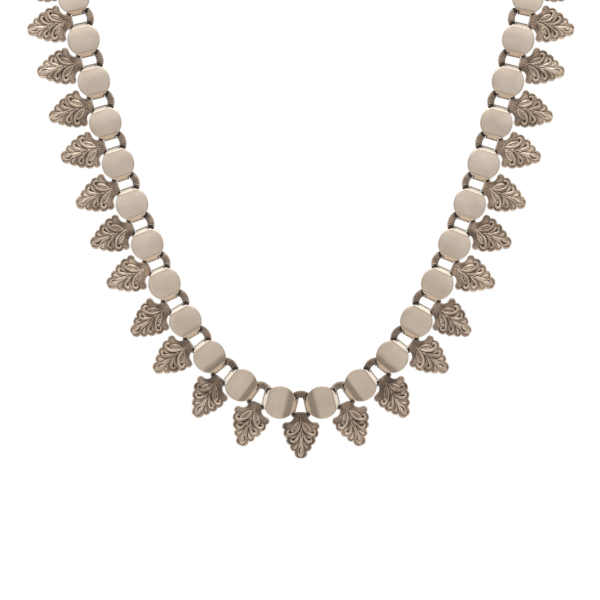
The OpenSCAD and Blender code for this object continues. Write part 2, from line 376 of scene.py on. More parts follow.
def arch_foot(x, turn):
    """The inner edge of the arch at x, which follows the folds of the turned discs beside it."""
    share = min(1, abs(x) / ARCH_INNER_HALF_W)
    edge = ARCH_INNER_TOP + (ARCH_FOOT_Y - ARCH_INNER_TOP) * share**2
    start = FRAME_REACH - FOLD_REACH * math.cos(turn) - FOLD_HALF_W * math.sin(turn)
    low = min(ARCH_FOOT_Y, fold_end(abs(x), turn) + ARCH_FOOT_Y - FOLD_HALF_W)
    share = float(smoothstep(start - 0.12, start + 0.04, abs(x)))
    return edge + (min(edge, low) - edge) * share


def arch_outline(turns=(0, 0)):
    """The arch between two discs turned by so much: its outer arc, and its inner edge and feet."""
    start = math.asin(ARCH_HALF_W / ARCH_R)
    outer = [
        (ARCH_R * math.sin(a), ARCH_CENTRE_Y + ARCH_R * math.cos(a))
        for a in np.linspace(start, -start, OUTER_SAMPLES)
    ]
    inner = []
    for x in np.linspace(-ARCH_HALF_W, ARCH_HALF_W, INNER_SAMPLES):
        inner.append((x, arch_foot(x, turns[0] if x < 0 else turns[1])))
    return np.array(outer + inner)


# Bodies of the relief on the right side, each over the ones before: x, y, half width, height
BODIES = [
    # Plain fold in the upper lobe's scallop
    [(1.30, -6.62, 0.10, 0.05), (2.40, -7.24, 0.34, 0.09), (3.24, -6.96, 0.40, 0.09)],
    # Upper lobe's dotted leaf
    [(0.36, -3.70, 0.10, 0.10), (0.94, -4.36, 0.46, 0.16), (1.50, -5.12, 0.62, 0.18),
     (2.02, -5.84, 0.46, 0.16), (2.30, -6.36, 0.14, 0.10)],
    # Upper lobe's stem, which ends in a hook
    [(0.08, -2.95, 0.09, 0.10), (0.28, -4.30, 0.20, 0.16), (0.76, -5.50, 0.26, 0.18),
     (1.42, -6.30, 0.30, 0.19), (2.14, -6.70, 0.34, 0.20), (2.82, -6.76, 0.38, 0.20),
     (3.26, -6.34, 0.37, 0.20), (3.12, -5.84, 0.28, 0.18), (2.78, -5.92, 0.15, 0.14)],
    # Second lobe's plain fold
    [(0.86, -6.90, 0.12, 0.05), (1.60, -7.46, 0.34, 0.09), (2.30, -7.66, 0.40, 0.09)],
    # Second lobe's stem and comma
    [(0.28, -6.10, 0.08, 0.12), (0.60, -7.10, 0.24, 0.16), (1.08, -7.96, 0.36, 0.18),
     (1.74, -8.50, 0.42, 0.19), (2.36, -8.36, 0.36, 0.18), (2.40, -7.94, 0.18, 0.14)],
    # Third lobe, beside the tip
    [(0.60, -8.80, 0.10, 0.08), (1.02, -9.40, 0.30, 0.13), (1.52, -9.86, 0.36, 0.13)],
]
SPINE = [(0, -5.10, 0.08, 0.10), (0, -6.00, 0.30, 0.13), (0, -7.00, 0.42, 0.14),
         (0, -7.90, 0.40, 0.14), (0, -8.80, 0.52, 0.18), (0, -9.80, 0.70, 0.20),
         (0, -10.70, 0.84, 0.20), (0, -11.40, 0.70, 0.16)]

# Slots and grooves: x, y, half width, depth
SLOTS = [
    # Eye of the upper hook
    [(2.34, -6.30, 0.06, 0.16), (2.62, -6.40, 0.15, 0.34), (2.88, -6.24, 0.11, 0.26)],
    # Eye of the second lobe
    [(1.40, -7.60, 0.06, 0.14), (1.70, -8.02, 0.14, 0.32), (2.06, -8.14, 0.08, 0.20)],
    # Line from the spine out between the upper and second lobes
    [(0.34, -5.80, 0.05, 0.10), (0.90, -6.56, 0.08, 0.16), (1.60, -7.06, 0.06, 0.08)],
    # Hollow of the spindle
    [(0, -5.95, 0.05, 0.05), (0, -6.90, 0.12, 0.09), (0, -7.85, 0.05, 0.05)],
]
TIP_SLOTS = [
    [(-0.12, -9.60, 0.08, 0.14), (0.26, -10.06, 0.15, 0.30), (0.38, -10.64, 0.17, 0.32),
     (0.10, -11.14, 0.11, 0.22)],
    [(-0.48, -10.10, 0.06, 0.10), (-0.54, -10.80, 0.09, 0.16), (-0.34, -11.42, 0.07, 0.12)],
]

# Punched dots: from, to, how many, radius, depth
DOTS = [[(0.96, -4.44), (1.86, -5.76), 5, 0.13, 0.38]]
SPINE_DOTS = [(0, -5.90), (0, -7.40), 5, 0.13, 0.36]
GROOVE_W = 0.06
GROOVE_DEPTH = 0.10
CROWN = 0.55


def plate_height(points, edge):
    """Height of the casting's front without its lobes; edge is the distance to the outline."""
    x, y = points[:, 0], points[:, 1]
    side = np.abs(x)
    leaf = smoothstep(-3.7, -4.5, y)
    height = DOME + DOME_SWELL * hump(x, 0, DOME_W) * smoothstep(-12.3, -9, y)
    height = height - SHOULDER * spot(side, y, SHOULDER_AT, SHOULDER_SIZE)
    height = height + RIM * hump(edge, *RIM_AT) * leaf
    height = height - DITCH * hump(edge, *DITCH_AT) * leaf
    neck = smoothstep(-3.6, -2.8, y) * smoothstep(-1.8, -2.3, y)
    height = height + STREAK * np.cos(x * STREAK_TURNS) * neck
    height = height + KNOB_RISE * spot(side, y, KNOB_AT, KNOB_SIZE)
    return height - TAB_ROOM * (smoothstep(1.25, 1.55, side) * smoothstep(-2.45, -2.1, y))


def loosened(path, r):
    """A relief path moved and changed a little, as one worked by hand is."""
    wide, tall = r.uniform(*WIDTHS), r.uniform(*HEIGHTS)
    return path * (1, 1, wide, tall) + (*r.uniform(-LOOSE, LOOSE, 2), 0, 0)


class Relief:
    """The worked front of one leaf, whose bodies and slots lie a little off their drawn places."""

    def __init__(self, k):
        r = np.random.RandomState(SEED + 31 * k)
        self.bodies, self.slots = [], []
        for drawn, kept in ((BODIES, self.bodies), (SLOTS, self.slots)):
            for points in drawn:
                path = curve_through(points, 6)
                kept += [loosened(path, r), loosened(mirrored(path), r)]
        self.bodies.append(curve_through(SPINE, 6))
        turned = r.uniform() < 0.5
        for points in TIP_SLOTS:
            path = curve_through(points, 6)
            self.slots.append(loosened(mirrored(path) if turned else path, r))
        self.dots = []
        for row, side in [(row, side) for row in DOTS for side in (1, -1)] + [(SPINE_DOTS, 1)]:
            start, end, count, radius, deep = row
            strength = r.uniform(*STRENGTHS)
            for t in np.linspace(0, 1, count):
                centre = np.array(start) * (1 - t) + np.array(end) * t
                centre = centre * (side, 1) + r.uniform(-LOOSE, LOOSE, 2)
                self.dots.append((centre, radius, deep * strength))

    def cuts(self, points):
        """Depth of the slots and dots, and how dark each point in one is."""
        cut, into = np.zeros(len(points)), np.zeros(len(points))
        for path in self.slots:
            near = beside(points, path)
            gap, carried = nearest_on(points[near], path)
            share = np.clip(1 - (gap / carried[:, 0]) ** 2, 0, 1)
            cut[near] = np.maximum(cut[near], carried[:, 1] * share**0.75)
            into[near] = np.maximum(into[near], np.minimum(carried[:, 1] / 0.2, 1) * share**0.5)
        for centre, radius, deep in self.dots:
            share = np.clip(1 - ((points - centre) ** 2).sum(1) / radius**2, 0, 1)
            cut = np.maximum(cut, deep * share**0.6)
            into = np.maximum(into, DOT_TONE * min(deep / 0.25, 1) * share**0.5)
        return cut, into

    def front(self, points, edge):
        """Height and tone of the whole front, where edge is the distance to the outline."""
        height = plate_height(points, edge)
        base = height.copy()
        tone = np.full(len(points), PLATE_TONE)
        for path in self.bodies:
            near = beside(points, path)
            gap, carried = nearest_on(points[near], path)
            wide, tall = carried[:, 0], carried[:, 1]
            outside = gap - wide
            groove = hump(outside, GROOVE_W, GROOVE_W)
            crown = np.clip(1 - (gap / wide) ** 2, 0, 1) ** CROWN
            over = smoothstep(0.05, -0.05, outside)
            raised = (base[near] + tall * crown) * over
            height[near] = (height[near] - GROOVE_DEPTH * groove) * (1 - over) + raised
            worn = BODY_TONE * smoothstep(0.04, 0.16, tall) * (0.6 + 0.4 * crown)
            sunk = tone[near] - GROOVE_TONE * groove * smoothstep(0.04, 0.12, tall)
            tone[near] = sunk * (1 - over) + (PLATE_TONE + worn) * over
        cut, into = self.cuts(points)
        tone += RIM_TONE * hump(edge, *RIM_TONE_AT)
        shoulder = smoothstep(1.2, 1.9, np.abs(points[:, 0])) * smoothstep(-6.1, -5.5, points[:, 1])
        tone -= (DITCH_TONE + SHOULDER_TONE * shoulder) * hump(edge, *DITCH_TONE_AT)
        return np.maximum(height - cut, LOWEST), tone - CUT_TONE * into


def arch_front(points, edge):
    """Height and tone of a rounded moulding with ribs across it, lower at its feet, with a painted
    highlight on its outer edge and painted shade at its feet.
    """
    x, y = points[:, 0], points[:, 1]
    side = np.abs(x)
    out = np.hypot(x, y - ARCH_CENTRE_Y)
    angle = np.degrees(np.arctan2(x, y - ARCH_CENTRE_Y))
    crown = np.sqrt(np.clip(1 - (1 - np.clip(edge / ARCH_ROUND, 0, 1)) ** 2, 0, 1))
    grooves = (0.5 - 0.5 * np.cos(2 * np.pi * angle / RIB_ANGLE)) ** 2
    low = 1 - 0.5 * smoothstep(1.1, 2.1, side)
    ribs = RIB_DEPTH * grooves * smoothstep(0.04, 0.2, edge)
    height = (ARCH_EDGE + ARCH_CROWN * crown - ribs) * low
    tone = ARCH_TONE + RIB_RISE - RIB_FALL * grooves * smoothstep(3.2, 3.0, out)
    # Painted highlight along the outer edge; painted shade at the feet's lower inner corners and
    # ends, where they tuck under the discs' folds
    tone += RIDGE_PAINTED_HIGHLIGHT * smoothstep(2.95, 3.15, out)
    tone -= UNDER_DISC_PAINTED_SHADE * smoothstep(0.9, 1.4, side) * smoothstep(2.7, 2.1, y)
    tone -= FOOT_PAINTED_SHADE * smoothstep(1.5, 2.1, side)
    return height, tone


def flat_mesh(outline, step, edge_gap):
    """Triangles that fill an outline, with an even scatter of points inside it."""
    low, high = outline.min(0), outline.max(0)
    rows = []
    for i, y in enumerate(np.arange(low[1], high[1], step * math.sqrt(3) / 2)):
        x = np.arange(low[0] + (i % 2) * step / 2, high[0], step)
        rows.append(np.column_stack([x, np.full(len(x), y)]))
    inside = np.vstack(rows)
    inside = inside[within(inside, outline)]
    gap, _ = nearest_on(inside, np.vstack([outline, outline[:1]]))
    inside = inside[gap > edge_gap]
    n = len(outline)
    points = np.vstack([outline, inside])
    edges = [(i, (i + 1) % n) for i in range(n)]
    made = delaunay_2d_cdt([Vector(p) for p in points], edges, [list(range(n))], 1, 1e-6)
    return np.array([list(v) for v in made[0]]), [tuple(f) for f in made[2]]


def within(points, loop):
    """Whether each point lies inside the loop."""
    inside = np.zeros(len(points), bool)
    x, y = points[:, 0], points[:, 1]
    for (ax, ay), (bx, by) in zip(loop, np.roll(loop, -1, 0)):
        if ay == by:
            continue
        crosses = (ay > y) != (by > y)
        inside ^= crosses & (x < (bx - ax) * (y - ay) / (by - ay) + ax)
    return inside


def inset(loop, by):
    """The loop, which runs counterclockwise, moved in."""
    ahead, behind = np.roll(loop, -1, 0), np.roll(loop, 1, 0)
    along = ahead - behind
    along /= np.maximum(np.linalg.norm(along, axis=1), 1e-9)[:, None]
    return loop + by * np.column_stack([-along[:, 1], along[:, 0]])


class Body:
    """A closed body of a casting: a worked front, a wall and a plain, slightly hollow back."""

    def __init__(self, outline, step, back, back_step):
        self.outline = outline if turned_area(outline) > 0 else outline[::-1]
        closed = np.vstack([self.outline, self.outline[:1]])
        self.flat, triangles = flat_mesh(self.outline, step, step * 0.55)
        self.edge, _ = nearest_on(self.flat, closed)
        self.faces = [f if turns_left(self.flat, f) else f[::-1] for f in triangles]
        n, count = len(self.outline), len(self.flat)
        rim = [int(np.argmin(np.linalg.norm(self.flat - p, axis=1))) for p in self.outline]
        rings, rest = [rim], []
        for depth, by in WALL_RINGS:
            low = EDGE_Z * (1 - depth) + back * depth
            rest.append(np.column_stack([inset(self.outline, by), np.full(n, low)]))
            rings.append(list(range(count, count + n)))
            count += n
        for upper, lower in zip(rings[:-1], rings[1:]):
            for i in range(n):
                j = (i + 1) % n
                self.faces.append((upper[i], lower[i], lower[j], upper[j]))
        loop = inset(self.outline, BACK_INSET)
        flat, triangles = flat_mesh(loop, back_step, back_step * 0.5)
        edge, _ = nearest_on(flat, np.vstack([loop, loop[:1]]))
        number = []
        for i, point in enumerate(flat):
            gap = np.linalg.norm(loop - point, axis=1)
            k = int(gap.argmin())
            if gap[k] < 1e-4:
                number.append(rings[-1][k])
            else:
                number.append(count)
                rest.append([[*point, back + HOLLOW * smoothstep(0.2, 1.4, edge[i])]])
                count += 1
        for f in triangles:
            f = f[::-1] if turns_left(flat, f) else f
            self.faces.append(tuple(number[i] for i in f))
        self.rest = np.vstack(rest)

    def worked(self, front, shift=0):
        """All points, their tones and the faces, with a worked front put on the body."""
        height, tone = front.at(self.flat + shift, self.edge)
        points = np.vstack([np.column_stack([self.flat, height]), self.rest])
        return points, np.concatenate([tone, np.full(len(self.rest), WALL_TONE)]), self.faces


def turned_area(loop):
    """The loop's area, which is positive if it runs counterclockwise."""
    ahead = np.roll(loop, -1, 0)
    return 0.5 * np.sum(loop[:, 0] * ahead[:, 1] - loop[:, 1] * ahead[:, 0])


class FineGrid:
    """Places over an outline, with their distances to it."""

    def __init__(self, outline):
        self.low = outline.min(0) - GRID_MARGIN
        high = outline.max(0) + GRID_MARGIN
        xs = np.arange(self.low[0], high[0], GRID_CELL)
        ys = np.arange(self.low[1], high[1], GRID_CELL)
        self.shape = (len(ys), len(xs))
        self.places = np.column_stack([a.ravel() for a in np.meshgrid(xs, ys)])
        edge, _ = nearest_on(self.places, np.vstack([outline, outline[:1]]))
        self.edge = np.where(within(self.places, outline), edge, 0)


class WorkedGrid:
    """A front's height and tone on a fine grid."""

    def __init__(self, grid, front):
        self.low = grid.low
        height, tone = (part.reshape(grid.shape) for part in front(grid.places, grid.edge))
        shown = np.where(grid.edge.reshape(grid.shape) > 0, height, 0)
        self.height = height
        self.tone = tone + RELIEF_TONE * (shown - blurred(shown, RELIEF_BLUR / GRID_CELL))

    def at(self, points, edge):
        """Height and tone at points, where the height falls off in a rounded edge."""
        height = looked_up(self.height, (points - self.low) / GRID_CELL)
        tone = looked_up(self.tone, (points - self.low) / GRID_CELL)
        rounding = np.sqrt(np.clip(1 - (1 - np.clip(edge / EDGE_ROUND, 0, 1)) ** 2, 0, 1))
        return EDGE_Z + (np.maximum(height, EDGE_Z + 0.02) - EDGE_Z) * rounding, tone


def looked_up(grid, places):
    """The grid's values at places given in cells."""
    x = np.clip(places[:, 0], 0, grid.shape[1] - 1.001)
    y = np.clip(places[:, 1], 0, grid.shape[0] - 1.001)
    ix, iy = x.astype(int), y.astype(int)
    sx, sy = x - ix, y - iy
    low = grid[iy, ix] * (1 - sx) + grid[iy, ix + 1] * sx
    high = grid[iy + 1, ix] * (1 - sx) + grid[iy + 1, ix + 1] * sx
    return low * (1 - sy) + high * sy


def turns_left(points, face):
    a, b, c = (points[i] for i in face[:3])
    return (b[0] - a[0]) * (c[1] - a[1]) - (b[1] - a[1]) * (c[0] - a[0]) > 0


def blurred(grid, sigma):
    """A grid blurred along both of its directions."""
    reach_cells = int(3 * sigma) + 1
    t = np.arange(-reach_cells, reach_cells + 1)
    kernel = np.exp(-0.5 * (t / sigma) ** 2)
    kernel /= kernel.sum()
    for axis in (0, 1):
        padded = np.pad(grid, [(reach_cells, reach_cells) if a == axis else (0, 0) for a in (0, 1)],
                        mode="edge")
        grid = np.apply_along_axis(lambda r: np.convolve(r, kernel, "valid"), axis, padded)
    return grid


def rod(start, end, r, sides=14):
    """A round bar with rounded ends, as points and faces."""
    start, end = np.array(start, float), np.array(end, float)
    along = (end - start) / np.linalg.norm(end - start)
    u = np.cross(along, [0, 0, 1.0])
    if np.linalg.norm(u) < 1e-6:
        u = np.array([1.0, 0, 0])
    u /= np.linalg.norm(u)
    v = np.cross(along, u)
    points, faces = [], []
    rings = [(start + at * r * along, share) for at, share in BAR_ENDS]
    rings += [(end - at * r * along, share) for at, share in BAR_ENDS[::-1]]
    for centre, share in rings:
        for k in range(sides):
            a = 2 * math.pi * k / sides
            points.append(centre + share * r * (math.cos(a) * u + math.sin(a) * v))
    for i in range(len(rings) - 1):
        for k in range(sides):
            j = (k + 1) % sides
            a, b = i * sides, (i + 1) * sides
            faces.append((a + k, a + j, b + j, b + k))
    faces.append(tuple(range(sides))[::-1])
    last = (len(rings) - 1) * sides
    faces.append(tuple(last + k for k in range(sides)))
    return np.array(points), faces


def joined(parts):
    """Several (points, tone, faces) as one."""
    points, tone, faces, count = [], [], [], 0
    for p, t, f in parts:
        points.append(p)
        tone.append(t)
        faces += [tuple(i + count for i in face) for face in f]
        count += len(p)
    return np.vstack(points), np.concatenate(tone), faces


def leaf_shade(points, corners):
    """How much darker each place below the arch is drawn: darker towards the top of the leaf,
    painted shade at each corner of the neck under the discs' folds, and lighter at the tip, a
    painted highlight.
    """
    x, y = points[:, 0], points[:, 1]
    side = np.abs(x)
    neck_end = -2.8 - 1.2 * smoothstep(0.1, 0.9, side)
    shade = NECK_TONE * smoothstep(-0.4, 0.4, y - neck_end)
    shade -= TIP_PAINTED_HIGHLIGHT * smoothstep(-8.5, -10.8, y)
    (at_x, at_y), (wide, tall) = CORNER_AT, CORNER_SIZE
    away = ((side - at_x) / wide) ** 2 + ((y - at_y) / tall) ** 2
    shade += np.where(x < 0, *corners) * np.exp(-(away**1.5))
    return shade * smoothstep(1.2, 0.9, y)


def value_noise(points, cell, seed):
    """Smooth noise from -1 to 1 at 3-D points, the same in every run."""
    r = np.random.RandomState(seed)
    table = r.uniform(-1, 1, NOISE_SIZE)
    p = points / cell
    base = np.floor(p).astype(int)
    f = p - base
    f = f * f * (3 - 2 * f)
    total = np.zeros(len(points))
    for dx in (0, 1):
        for dy in (0, 1):
            for dz in (0, 1):
                hashed = (base + (dx, dy, dz)) * HASH
                key = (hashed[:, 0] ^ hashed[:, 1] ^ hashed[:, 2]) % NOISE_SIZE
                near = np.abs(1 - np.array((dx, dy, dz)) - f)
                total += table[key] * (near[:, 0] * near[:, 1] * near[:, 2])
    return total


def new_piece(name, points, faces, values, material, slot, *nodes):
    """A mesh object in metres that rides on the necklace and stands for its CAD nodes."""
    mesh = bpy.data.meshes.new(name)
    mesh.from_pydata([tuple(p) for p in points], [], faces)
    for key, value in values.items():
        mesh.attributes.new(key, "FLOAT", "POINT").data.foreach_set(
            "value", np.asarray(value, np.float32))
    mesh.materials.append(material)
    mesh.polygons.foreach_set("use_smooth", [True] * len(mesh.polygons))
    mesh.validate()
    mesh.update()
    piece = bpy.data.objects.new(name, mesh)
    bpy.context.scene.collection.objects.link(piece)
    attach(piece, "root")
    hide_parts(*nodes)
    return piece


def made_arch(turns):
    """An arch that fits the turns of the discs beside it."""
    arch = Body(arch_outline(turns), ARCH_STEP, ARCH_BACK, ARCH_BACK_STEP)
    return arch.worked(WorkedGrid(FineGrid(arch.outline), arch_front))


def make_leaves(material):
    """One casting for each leaf link, each with its own relief; the two sides are a pair."""
    leaf = Body(leaf_outline(), LEAF_STEP, PLATE_BACK, LEAF_BACK_STEP)
    straight = made_arch((0, 0))
    grid = FineGrid(leaf.outline)
    uneven = np.random.RandomState(SEED + 1)
    bars = []
    for x in (-FRAME_REACH, FRAME_REACH):
        points, faces = rod((x, -BAR_HALF_L, 0), (x, BAR_HALF_L, 0), BAR_R)
        bars.append((points, np.full(len(points), BAR_TONE), faces))
    for k in range(SIDE_LINKS + 1):
        q = 2 * k
        at = np.column_stack([leaf.flat, np.full(len(leaf.flat), 4.0 * q)])
        sway = np.column_stack([value_noise(at, SWAY_CELL, SEED + q + axis) for axis in (0, 1)])
        sway *= SWAY * smoothstep(0.05, 0.6, leaf.edge)[:, None]
        front = WorkedGrid(grid, Relief(k).front)
        points, tone, faces = straight
        if q < CURVED_LINKS:
            before, after = slope(q) - slope(q - 1), slope(q + 1) - slope(q)
            points, tone, faces = made_arch((before - loose_lag(k), after + loose_lag(k)))
        ribbed = ARCH_TONE + (tone - ARCH_TONE) * uneven.uniform(*RIB_CONTRASTS)
        flat, tone, faces = joined([leaf.worked(front, sway), (points, ribbed, faces), *bars])
        # Painted shade at the neck's corners and a painted highlight at the tip; the upper part is
        # drawn darker
        tone = tone - leaf_shade(flat, uneven.uniform(*CORNER_SHADES, 2))
        bend = LEAF_BENDS[min(k, len(LEAF_BENDS) - 1)]
        noise = value_noise(flat + [0, 0, 7 * q], UNEVEN_CELL, SEED + q)
        grain = value_noise(flat + [3, 0, 5 * q], GRAIN_CELL, SEED + q + 50)
        out = flat[:, 2] > EDGE_Z + 0.01
        flat[out, 2] += UNEVEN * noise[out] + GRAIN * grain[out]
        flat[:, 0] -= bend * np.maximum(0, BEND_Y - flat[:, 1])
        # The tone keeps that painted shade and highlight, and gains mottling, grain, a random step
        # and paleness further up the chain
        worn = tone * (1 + MOTTLED * noise) + UNEVEN_TONE * noise + GRAIN_TONE * grain
        worn += LUCK_TONE * rng.uniform(-1, 1) + UPPER_TONE * smoothstep(4.0, 14.0, float(q))
        for name, side in (("left", -1), ("right", 1)) if k else (("centre", 1),):
            name = f"{name}_{k}" if k else name
            turned = faces if side > 0 else [f[::-1] for f in faces]
            new_piece(f"cast_leaf_{name}", placed(flat, q, side), turned, {"tone": worn}, material,
                      "oxidised_silver", f"leaf_link_{name}")


def disc_profile():
    """Middle line of half a disc's sheet along the chain: x, height, half width, place."""
    rise = CREASE_Y - SHEET / 2
    rows = []
    for x in np.linspace(0, FACE_END, FACE_SAMPLES):
        height = rise + FACE_RISE * (1 - (x / CREASE_X) ** 2)
        rows.append((x, height, math.sqrt(DISC_R**2 - x**2), x / CREASE_X))
    middle_r = FOLD_R - SHEET / 2
    away = np.array([CREASE_X - FOLD_X, rise - FOLD_Y])
    start = math.atan2(away[1], away[0]) - math.acos(middle_r / np.linalg.norm(away))
    touch = np.array([FOLD_X + middle_r * math.cos(start), FOLD_Y + middle_r * math.sin(start)])
    crease = np.array([CREASE_X, rise])
    for share, wide in TAB_WIDTHS:
        x, height = crease * (1 - share) + touch * share
        rows.append((x, height, wide, ON_TAB))
    for a in np.linspace(start, -math.pi / 2, FOLD_SAMPLES)[1:]:
        x, height = FOLD_X + middle_r * math.cos(a), FOLD_Y + middle_r * math.sin(a)
        rows.append((x, height, FOLD_HALF_W, ON_FOLD))
    low = FOLD_Y - middle_r
    rows += [(x, low + up, wide, BEHIND) for x, up, wide in RETURN]
    rows.append((SEAM_X, rise - SEAM_DROP, SEAM_HALF_W, BEHIND))
    return np.array(rows)


def disc_sheet():
    """One disc link's closed sheet, drawn flat, with each point's place along the chain."""
    half = disc_profile()
    far = half[::-1].copy()
    far[:, 0] = -far[:, 0]
    far[:, 3] = -far[:, 3]
    rows = np.vstack([far[:-1], half])
    along = np.gradient(rows[:, :2], axis=0)
    along /= np.linalg.norm(along, axis=1)[:, None]
    normal = np.column_stack([-along[:, 1], along[:, 0]])
    across = [math.sin(v * math.pi / 2) * 0.5 + v * 0.5 for v in np.linspace(-1, 1, ACROSS)]
    turn = np.linspace(math.pi / 2, -math.pi / 2, ROUND_STEPS)[1:-1]
    rounding = [(math.cos(a), math.sin(a)) for a in turn]
    loop = [(v, 0.0, 1.0) for v in across]
    loop += [(1.0, out, up) for out, up in rounding]
    loop += [(v, 0.0, -1.0) for v in across[::-1]]
    loop += [(-1.0, -out, -up) for out, up in rounding]
    points, place = [], []
    for (x, h, wide, where), (nx, nh) in zip(rows, normal):
        for v, out, up in loop:
            y = v * (wide - SHEET_ROUND) + out * SHEET_ROUND
            points.append((x + nx * SHEET / 2 * up, y, h + nh * SHEET / 2 * up))
            place.append(where)
    m, n = len(loop), len(rows)
    faces = []
    for i in range(n - 1):
        for k in range(m):
            j = (k + 1) % m
            faces.append((i * m + k, i * m + j, (i + 1) * m + j, (i + 1) * m + k))
    faces.append(tuple(range(m))[::-1])
    faces.append(tuple((n - 1) * m + k for k in range(m)))
    return np.array(points), [f[::-1] for f in faces], np.array(place)


def disc_marks(q, flat, where):
    """Painted dark reflection, painted shade at creases, edges, folds and fold ends, lit and shaded
    tabs, and the paleness of the disc at place q, for each of its points.
    """
    x, y = flat[:, 0], flat[:, 1]
    on_face = np.abs(where) <= 1
    # Painted dark reflection: a dark band on the inner half of the face
    strength, start, full = DARK_REFLECTION_BANDS[min(q // 2, len(DARK_REFLECTION_BANDS) - 1)]
    wander = 0.05 * value_noise(flat + [5, 0, 3 * q], 1.8, SEED + q + 400)
    shadow = smoothstep(-start, -full, where + wander)
    # Painted shade: a dark line along each crease, darker edges, more so towards the disc's upper
    # side, and darker folds
    crease = 1.3 * smoothstep(0.87, 0.95, np.abs(where)) * on_face
    upper = 0.55 + 0.45 * smoothstep(-1.0, 1.0, y)
    edge = upper * smoothstep(0.955, 0.985, np.hypot(x, y) / DISC_R) * on_face
    fold = 0.7 * (np.abs(where) > ON_TAB + 0.1)
    # Painted shade, near black, at both ends of each fold, next to the frame's arch and bottom bar
    low_end = (0.8 if q < 6 else 0.35) * smoothstep(-1.2, -1.45, y)
    ends = smoothstep(3.2, 3.5, np.abs(x)) * (smoothstep(1.05, 1.4, y) + low_end)
    # Painted highlight and shade on the tabs: each row's lit outer tab and shaded inner tab
    outer, inner = GLEAMS[min(q // 2, len(GLEAMS) - 1)]
    paler = 0.2 + 0.65 * smoothstep(2.0, 13.0, float(q)) + 0.1 * rng.uniform(-1, 1)
    clouds = 0.22 * value_noise(flat + [0, 7, 5 * q], 2.6, SEED + q + 600)
    return {
        "dark_reflection": strength * shadow * on_face,
        "rim": np.clip(crease + edge + fold, 0, 1),
        "luck": np.clip(paler + clouds, 0, 1),
        "tab": np.where(on_face, 0, np.sign(where)),
        "gleam": np.where(on_face, 1, np.where(where > 0, outer, inner)),
        "fold_end_shade": ends,
    }


def make_discs(material):
    """One object for each side's row of disc links."""
    flat, faces, where = disc_sheet()
    on_face = np.abs(where) <= 1
    for name, side in (("left", -1), ("right", 1)):
        turned = faces if side > 0 else [f[::-1] for f in faces]
        points, all_faces, marks = [], [], []
        for count, q in enumerate(range(1, CLASP_LINK, 2)):
            worked = flat.copy()
            dents = value_noise(flat + [0, 0, 9 * q], DENT_CELL, SEED + q + 200)
            worked[on_face, 2] += DENT * dents[on_face]
            points.append(placed(worked, q, side))
            all_faces += [tuple(i + count * len(flat) for i in f) for f in turned]
            marks.append(disc_marks(q, flat, where))
        values = {key: np.concatenate([m[key] for m in marks]) for key in marks[0]}
        new_piece(f"sheet_discs_{name}", np.vstack(points), all_faces, values, material,
                  "polished_silver", f"disc_links_{name}")


def rounded_box(half):
    """A closed box with rounded edges, as points and faces, where half is half of its size."""
    line = np.concatenate([np.linspace(-1, -0.5, CORNER_STEPS), np.linspace(0.5, 1, CORNER_STEPS)])
    last = len(line) - 1
    core = half - CLASP_CORNER
    points, index, faces = [], {}, []

    def point_at(*key):
        if key not in index:
            cell = line[list(key)]
            inner = np.clip(cell * half, -core, core)
            out = cell * (half + CLASP_CORNER * 0.5) - inner
            index[key] = len(points)
            points.append(inner + out / np.linalg.norm(out) * CLASP_CORNER)
        return index[key]

    for axis in range(3):
        for end in (0, last):
            flip = (axis == 1) != (end == 0)
            for i in range(last):
                for j in range(last):
                    quad = []
                    for a, b in ((i, j), (i + 1, j), (i + 1, j + 1), (i, j + 1)):
                        key = [a, b]
                        key.insert(axis, end)
                        quad.append(point_at(*key))
                    faces.append(tuple(quad[::-1] if flip else quad))
    return np.array(points), faces


def make_clasp(material):
    """A plain closed box with rounded edges, and a bar on two arms at each end."""
    box_w = CLASP_W - 2 * FRAME_REACH
    solids = [rounded_box(np.array([box_w, CLASP_H, CLASP_T]) / 2)]
    for x in (-CLASP_W / 2, CLASP_W / 2):
        solids.append(rod((x, -BAR_HALF_L, 0), (x, BAR_HALF_L, 0), BAR_R))
        inner = np.sign(x) * (box_w / 2 - ARM_LAP)
        for y in (-ARM_Y, ARM_Y):
            solids.append(rod((inner, y, 0), (x, y, 0), ARM_R))
    points, zero, faces = joined([(p, np.zeros(len(p)), f) for p, f in solids])
    values = {"dark_reflection": zero, "rim": zero, "luck": zero + 0.5, "tab": zero, "gleam": zero + 1,
              "fold_end_shade": zero}
    new_piece("box_clasp", placed(points, CLASP_LINK, 1), faces, values, material,
              "polished_silver", "clasp")


def ramp(tree, source, stops):
    """A colour ramp from (place, colour) stops."""
    node = tree.nodes.new("ShaderNodeValToRGB")
    marks = node.color_ramp.elements
    while len(marks) < len(stops):
        marks.new(0.5)
    for mark, (at, colour) in zip(marks, stops):
        mark.position = at
        mark.color = (*colour, 1) if len(colour) == 3 else colour
    tree.links.new(source, node.inputs["Fac"])
    return node.outputs["Color"]


def maths(tree, kind, a, b):
    """A maths node on two sources or numbers."""
    node = tree.nodes.new("ShaderNodeMath")
    node.operation = kind
    for socket, value in zip(node.inputs, (a, b)):
        if isinstance(value, (int, float)):
            socket.default_value = value
        else:
            tree.links.new(value, socket)
    return node.outputs["Value"]


def varied(tree, source, by, amount):
    """A source moved up or down by noise, by at most half the amount."""
    centred = maths(tree, "SUBTRACT", by, 0.5)
    return maths(tree, "ADD", source, maths(tree, "MULTIPLY", centred, amount))


